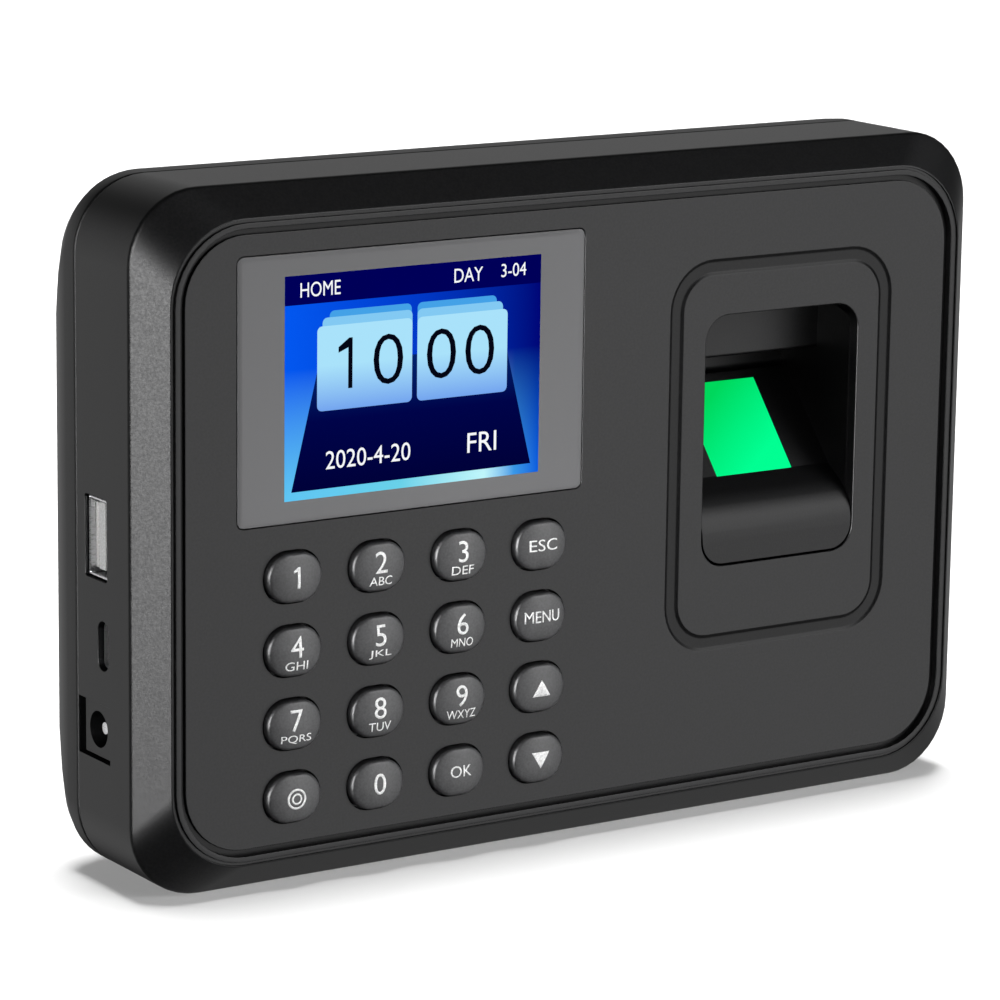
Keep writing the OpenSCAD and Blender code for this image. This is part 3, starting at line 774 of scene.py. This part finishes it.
def build_key(name):
    """Crowned cap with a rounded edge and a skirt behind the panel."""
    middle, _ = centre_and_size(name)
    w, h, r = KEY_CAP
    loops = []
    half = min(w, h) / 2
    for share in (0.05, 0.2, 0.35, 0.5, 0.65, 0.78):
        inset = half * (1 - share)
        outline = rounded_rect(w - 2 * inset, h - 2 * inset, max(r - inset, 0.25 * share), 0, 0, 8)
        loops.append([(x, dome_depth(x, z), z) for x, z in outline])
    for k in range(7):
        a = math.radians(15 * k)
        inset = EDGE_R * (1 - math.sin(a))
        drop = EDGE_R * (1 - math.cos(a))
        outline = rounded_rect(w - 2 * inset, h - 2 * inset, r - inset, 0, 0, 8)
        loops.append([(x, dome_depth(x, z) + drop, z) for x, z in outline])
    skirt_d = PANEL_BACK + 0.2
    for grow, d in ((0, skirt_d), (1, skirt_d), (1, skirt_d + 1)):
        outline = rounded_rect(w + 1.8 * grow, h + 2.2 * grow, r + 0.45 * grow, 0, 0, 8)
        loops.append([(x, d, z) for x, z in outline])
    bm = bmesh.new()
    skin(bm, [[at(middle.x + x, d, middle.z + z) for x, d, z in loop] for loop in loops])
    cap = new_object(name + "_button", bm, 50)
    return finish_piece(cap, name + "_cap", "key_plastic", KEY, name)


def figure_one(height, x, z, thick):
    """A figure one with a flag: stem and slanted stroke, as one outline."""
    t = thick / 2
    top = z + height / 2
    flag = x - height * 0.27
    outline = [(x - t, z - height / 2), (x + t, z - height / 2), (x + t, top), (x - t * 0.6, top),
               (flag, top - height * 0.17), (flag, top - height * 0.28), (x - t, top - height * 0.19)]
    return shape_mesh([outline])


def text_mesh(words, height, x=0.0, z=0.0, width=0.0, stretch=1.0, bold=0.0):
    """Flat letters in the plane (x, z), in millimetres, of one height; a width of 0 leaves it free."""
    curve = bpy.data.curves.new("words", "FONT")
    curve.body = words
    curve.align_x = "CENTER"
    curve.size = 1
    curve.offset = bold
    curve.resolution_u = 4
    obj = bpy.data.objects.new("words", curve)
    bpy.context.scene.collection.objects.link(obj)
    graph = bpy.context.evaluated_depsgraph_get()
    mesh = bpy.data.meshes.new_from_object(obj.evaluated_get(graph))
    bm = bmesh.new()
    bm.from_mesh(mesh)
    bpy.data.objects.remove(obj)
    bpy.data.meshes.remove(mesh)
    low = min(v.co.y for v in bm.verts)
    high = max(v.co.y for v in bm.verts)
    left = min(v.co.x for v in bm.verts)
    right = max(v.co.x for v in bm.verts)
    scale = height / (high - low)
    across = width / (right - left) if width else scale * stretch
    for v in bm.verts:
        u = (v.co.x - (left + right) / 2) * across
        v.co = Vector((x + u, 0, z + (v.co.y - (low + high) / 2) * scale))
    return bm


def shape_mesh(outlines):
    """Flat filled outlines, each a list of (x, z); a second list in a tuple is its hole."""
    bm = bmesh.new()
    for outline in outlines:
        if isinstance(outline, tuple):
            a, b = ([bm.verts.new((x, 0, z)) for x, z in side] for side in outline)
            for i in range(len(a)):
                j = (i + 1) % len(a)
                bm.faces.new((a[i], a[j], b[j], b[i]))
        else:
            bm.faces.new([bm.verts.new((x, 0, z)) for x, z in outline])
    return bm


def circle(r, n=40):
    return [(r * math.cos(2 * math.pi * i / n), r * math.sin(2 * math.pi * i / n)) for i in range(n)]


def legend_mesh(kind, letters):
    """The white marks of one key, flat, measured from the key's middle."""
    if kind == "ring":
        return shape_mesh([(circle(1.75), circle(1.4)), (circle(0.95), circle(0.65))])
    if kind in ("up", "down"):
        s = 1 if kind == "up" else -1
        return shape_mesh([[(-1.75, -1.3 * s), (1.75, -1.3 * s), (0, 1.55 * s)]])
    if letters is None:
        return text_mesh(kind, 2, z=0.2, width={"ESC": 5.5, "MENU": 6.9, "OK": 4.1}[kind])
    if kind == "1":
        return figure_one(3.6, 0.25, 0.1, 0.52)
    big = text_mesh(kind, 3.6, z=0.9 if letters else 0.25)
    if letters:
        small = text_mesh(letters, 1.5, z=-2.25, width=1.42 * len(letters))
        mesh = bpy.data.meshes.new("part")
        small.to_mesh(mesh)
        big.from_mesh(mesh)
        small.free()
        bpy.data.meshes.remove(mesh)
    return big


def build_legend(name):
    """Printed legend laid on the key's crowned face as a thin layer of ink."""
    middle, _ = centre_and_size(name)
    bm = legend_mesh(*LEGENDS[name])
    bmesh.ops.remove_doubles(bm, verts=bm.verts, dist=0.0005)
    for _ in range(4):
        bmesh.ops.triangulate(bm, faces=bm.faces)
        long_edges = [e for e in bm.edges if e.calc_length() > LONGEST_INK_EDGE]
        if not long_edges:
            break
        bmesh.ops.subdivide_edges(bm, edges=long_edges, cuts=1)
    bmesh.ops.triangulate(bm, faces=bm.faces)
    for v in bm.verts:
        x, z = v.co.x, v.co.z
        v.co = at(middle.x + x, dome_depth(x, z) - 0.02, middle.z + z)
    legend = new_object(name + "_legend", bm, 60)
    ink = legend.modifiers.new("ink", "SOLIDIFY")
    ink.thickness = 0.00003
    ink.offset = 0
    return finish_piece(legend, name + "_cap", "key_plastic", INK)


# ---------------------------------------------------------------- window and picture
PICTURE_W = 48.96
PICTURE_H = 36.72


def build_window():
    """Window plate, grey all over and opaque, edges broken; the picture lies on its face."""
    w, h, r = window_size.x, window_size.z, 1.15
    rows = ((-1, PANEL_D), (-0.1, PANEL_D), (-0.03, PANEL_D + 0.03), (0, PANEL_D + 0.1), (0, PANEL_D + 1.4))
    bm = bmesh.new()
    skin(bm, [loop_at((w, h, r), g, d, window_mid.x, window_mid.z) for g, d in rows])
    window = new_object("window_plate", bm, 50)
    return finish_piece(window, "case", "window", WINDOW, "display_window")


def on_picture(s, t):
    """Place (x, z) on the picture from shares of its width and of its height from the top."""
    return window_mid.x + (s - 0.5) * PICTURE_W, window_mid.z + (0.5 - t) * PICTURE_H


def picture_axis(n, which, start, stop):
    """0 to 1 between two shares of the picture's width (X) or height from the top (Z)."""
    if which == "X":
        return n.axis("X", on_picture(start, 0)[0], on_picture(stop, 0)[0])
    return n.axis("Z", on_picture(0, start)[1], on_picture(0, stop)[1])


def flat_piece(name, outlines, layer, material):
    """Thin lit layer of the picture, from outlines or a flat mesh, in front of the window plate."""
    bm = outlines if isinstance(outlines, bmesh.types.BMesh) else shape_mesh(outlines)
    bmesh.ops.recalc_face_normals(bm, faces=bm.faces)
    d = PANEL_D - 0.012 * layer
    for v in bm.verts:
        v.co = at(v.co.x, d, v.co.z)
    piece = new_object(name, bm, 60)
    depth = piece.modifiers.new("layer", "SOLIDIFY")
    depth.thickness = 0.000006
    depth.offset = 0
    return finish_piece(piece, "case", "lcd_glass", material)


def blend_colours(n, factor, a, b):
    """Mixes two colours by a factor, each a socket."""
    mix = n.add("ShaderNodeMix", data_type="RGBA")
    n.link(factor, mix.inputs[0])
    n.link(a, mix.inputs[6])
    n.link(b, mix.inputs[7])
    return mix.outputs[2]


def sky_colour(n):
    """Azure at the left to deep blue at the right, lighter towards the lower left."""
    across = picture_axis(n, "X", 0, 1)
    down = picture_axis(n, "Z", 0.1, 1)
    upper = n.ramp(across, ((0, linear(10, 88, 240)), (0.5, linear(5, 60, 200)), (1, linear(0, 14, 118))))
    lower = n.ramp(across, ((0, linear(95, 195, 243)), (0.45, linear(105, 208, 232)),
                            (0.78, linear(190, 246, 252)), (0.9, linear(60, 150, 230)),
                            (1, linear(15, 92, 222))))
    return blend_colours(n, n.ramp(down, ((0.35, (0, 0, 0)), (0.97, (1, 1, 1)))), upper, lower)


def card_colour(top, bottom):
    def colour(n):
        return n.ramp(picture_axis(n, "Z", 0.2, 0.62), ((0, top), (0.5, top), (1, bottom)))
    return colour


def stage_colour(n):
    """Navy board under the cards, darker towards its foot."""
    return n.ramp(picture_axis(n, "Z", 0.4, 0.97),
                  ((0, linear(2, 38, 108)), (0.45, linear(2, 12, 75)), (1, linear(3, 7, 60))))


def plain_colour(colour):
    def pick(n):
        a, b = shades(colour, 0.96, 1.0)
        return n.ramp(n.noise(200, 2), ((0.3, a), (0.7, b)))
    return pick


def card(s0, s1, t0, t1):
    """Outline of one clock card between shares of the picture's width and height."""
    radius = 0.9
    x0, z0 = on_picture(s0, t0)
    x1, z1 = on_picture(s1, t1)
    return rounded_rect(x1 - x0, z0 - z1, radius, (x0 + x1) / 2, (z0 + z1) / 2, 5)


def build_picture():
    white = lit("picture_white", plain_colour(linear(250, 252, 255)))
    black = lit("picture_black", plain_colour(linear(12, 14, 26)))
    header = lit("picture_header", plain_colour(linear(0, 0, 90)))
    sky = lit("picture_sky", sky_colour)
    stage = lit("picture_stage", stage_colour)
    face = lit("picture_card", card_colour(linear(168, 225, 250), linear(112, 160, 238)))
    middle = lit("picture_card_second", card_colour(linear(130, 200, 242), linear(95, 140, 225)))
    back = lit("picture_card_third", card_colour(linear(70, 160, 230), linear(80, 130, 215)))

    def corners(*points):
        return [on_picture(s, t) for s, t in points]

    flat_piece("picture_sky", [corners((0, 0), (0, 1), (1, 1), (1, 0))], 1, sky)
    flat_piece("picture_header", [corners((0, 0), (0, 0.13), (1, 0.13), (1, 0))], 2, header)
    board = corners((0.13, 0.4), (0.026, 0.962), (0.967, 0.956), (0.862, 0.4))
    flat_piece("picture_stage", [board], 2, stage)
    layers = (("picture_cards_third", 0.17, 0.487, 0.823, 0.168, 0.5, back),
              ("picture_cards_second", 0.143, 0.49, 0.848, 0.197, 0.55, middle),
              ("picture_cards", 0.123, 0.49, 0.867, 0.234, 0.612, face))
    for layer, (name, left, inner, right, top, foot, colour) in enumerate(layers, 3):
        flat_piece(name, [card(left, inner, top, foot), card(0.51, right, top, foot)], layer, colour)
    tall = 8.3
    for i, (digit, share) in enumerate((("1", 0.25), ("0", 0.397), ("0", 0.605), ("0", 0.757))):
        x, z = on_picture(share, 0.408)
        if digit == "1":
            figure = figure_one(tall, x, z, 0.8)
        else:
            figure = text_mesh(digit, tall, x, z, stretch=1.1, bold=-0.01)
        flat_piece(f"picture_hour_{i}", figure, 6, black)
    words = (("date", "2020-4-20", 0.322, 0.835, 3.0, 0.92), ("day", "FRI", 0.77, 0.83, 3.3, 1.0),
             ("menu", "HOME", 0.135, 0.066, 2.4, 0.8), ("mode", "DAY", 0.71, 0.064, 2.3, 0.85),
             ("count", "3-04", 0.89, 0.06, 2.2, 0.9))
    for name, text, share, down, height, narrow in words:
        x, z = on_picture(share, down)
        flat_piece("picture_" + name, text_mesh(text, height, x, z, stretch=narrow), 3, white)


# ---------------------------------------------------------------- stage
def build_floor():
    """Pale floor that curves up into a far wall."""
    n = 96
    flat_m = 3.0
    curve_m = 1.2
    rows = [(0.02, 0), (flat_m, 0)]
    for k in range(1, 7):
        a = math.radians(15 * k)
        rows.append((flat_m + curve_m * math.sin(a), curve_m * (1 - math.cos(a))))
    rows.append((4.2, 6))
    turns = [2 * math.pi * i / n for i in range(n)]
    bm = bmesh.new()
    rings = [[bm.verts.new((r * math.cos(a), r * math.sin(a), z)) for a in turns] for r, z in rows]
    bm.faces.new(rings[0])
    for a, b in zip(rings, rings[1:]):
        for i in range(n):
            j = (i + 1) % n
            bm.faces.new((a[i], b[i], b[j], a[j]))
    floor = new_object("studio_floor", bm)
    pale = bpy.data.materials.new("pale_floor")
    pale.use_nodes = True
    shader = pale.node_tree.nodes["Principled BSDF"]
    shader.inputs["Base Color"].default_value = (0.4, 0.4, 0.4, 1)
    shader.inputs["Roughness"].default_value = 0.9
    shader.inputs["Specular IOR Level"].default_value = 0.0
    shader.inputs["Emission Color"].default_value = (1, 1, 1, 1)
    shader.inputs["Emission Strength"].default_value = 0.2
    floor.data.materials.append(pale)
    floor.visible_glossy = False
    floor.visible_diffuse = False
    return floor


def light_floor(floor):
    """Broad overhead light for the floor alone, which draws the soft shadow at the base."""
    group = bpy.data.collections.new("floor_only")
    group.objects.link(floor)
    data = bpy.data.lights.new("floor_light", "SUN")
    data.energy = 9
    data.angle = math.radians(24)
    lamp = bpy.data.objects.new("floor_light", data)
    toward = Vector((0.04, 0.1, 1.0))
    lamp.rotation_euler = toward.to_track_quat("Z", "Y").to_euler()
    bpy.context.scene.collection.objects.link(lamp)
    lamp.light_linking.receiver_collection = group


# Soft patches of light round the object: direction, half-width in degrees, strength.
PATCHES = (
    ((-0.86, -0.50, 0.06), 25, 122.0),  # strong soft light at the left and a little in front
    ((0.53, -0.83, -0.15), 32, 3.7),    # front right, which the panel mirrors
    ((0.55, -0.70, 0.45), 20, 9.0),     # higher at the front right, for lips and key crowns
    ((-0.50, 0.84, -0.20), 45, 0.85),   # behind at the left, a little below
    ((0.45, 0.86, 0.26), 34, 0.5),      # behind at the right, a little above
    ((0.45, 0.10, -0.89), 40, 0.48),    # from the floor below
    ((0.80, 0.55, -0.22), 24, 0.55),    # behind at the right, for the right edge and the back
    ((0.0, 1.0, -0.1), 22, 0.45),       # straight behind, for the back
)
DIM = 0.045     # light from everywhere else


def build_world():
    """Surroundings made of the soft patches, each fading out towards its rim."""
    world = bpy.data.worlds.new("studio")
    bpy.context.scene.world = world
    world.use_nodes = True
    tree = world.node_tree
    nodes, links = tree.nodes, tree.links
    where = nodes.new("ShaderNodeTexCoord").outputs["Generated"]
    total = None
    for direction, half_width, strength in PATCHES:
        dot = nodes.new("ShaderNodeVectorMath")
        dot.operation = "DOT_PRODUCT"
        links.new(where, dot.inputs[0])
        dot.inputs[1].default_value = Vector(direction).normalized()
        fade = nodes.new("ShaderNodeMapRange")
        fade.interpolation_type = "SMOOTHSTEP"
        fade.inputs["From Min"].default_value = math.cos(math.radians(half_width))
        fade.inputs["From Max"].default_value = math.cos(math.radians(half_width * 0.3))
        fade.inputs["To Max"].default_value = strength
        links.new(dot.outputs["Value"], fade.inputs["Value"])
        plus = nodes.new("ShaderNodeMath")
        plus.operation = "ADD"
        links.new(fade.outputs["Result"], plus.inputs[0])
        if total is None:
            plus.inputs[1].default_value = DIM
        else:
            links.new(total, plus.inputs[1])
        total = plus.outputs[0]
    links.new(total, nodes["Background"].inputs["Strength"])
    nodes["Background"].inputs["Color"].default_value = (1, 1, 1, 1)


def build_camera():
    """Camera to the left of the front, a little above, aimed near the middle of the case."""
    yaw, pitch, roll = (math.radians(a) for a in (33.14, 12.19, 0.76))
    middle = (cad_bounds[0] + cad_bounds[1]) / 2
    aim = Vector(middle) + Vector((-4.2, 2.4, -2.3)) * MM
    distance_m = 0.7582
    forward = Vector((math.sin(yaw) * math.cos(pitch), math.cos(yaw) * math.cos(pitch), -math.sin(pitch)))
    level = Vector((math.cos(yaw), -math.sin(yaw), 0))
    upright = level.cross(forward)
    right = level * math.cos(roll) + upright * math.sin(roll)
    up = upright * math.cos(roll) - level * math.sin(roll)
    data = bpy.data.cameras.new("camera")
    data.lens = 159.3
    data.sensor_width = 36
    data.clip_start = 0.01
    data.clip_end = 50
    camera = bpy.data.objects.new("camera", data)
    place = Matrix((right, up, -forward)).transposed().to_4x4()
    place.translation = aim - forward * distance_m
    camera.matrix_world = place
    bpy.context.scene.collection.objects.link(camera)
    bpy.context.scene.camera = camera


build_camera()
build_world()
light_floor(build_floor())
dress_cad_nodes()
build_front_housing()
build_rear_cover()
build_finger_guide()
build_usb_leaf()
for key_name in KEY_NAMES:
    build_key(key_name)
    build_legend(key_name)
build_window()
build_picture()
bpy.context.scene.view_settings.view_transform = "Standard"
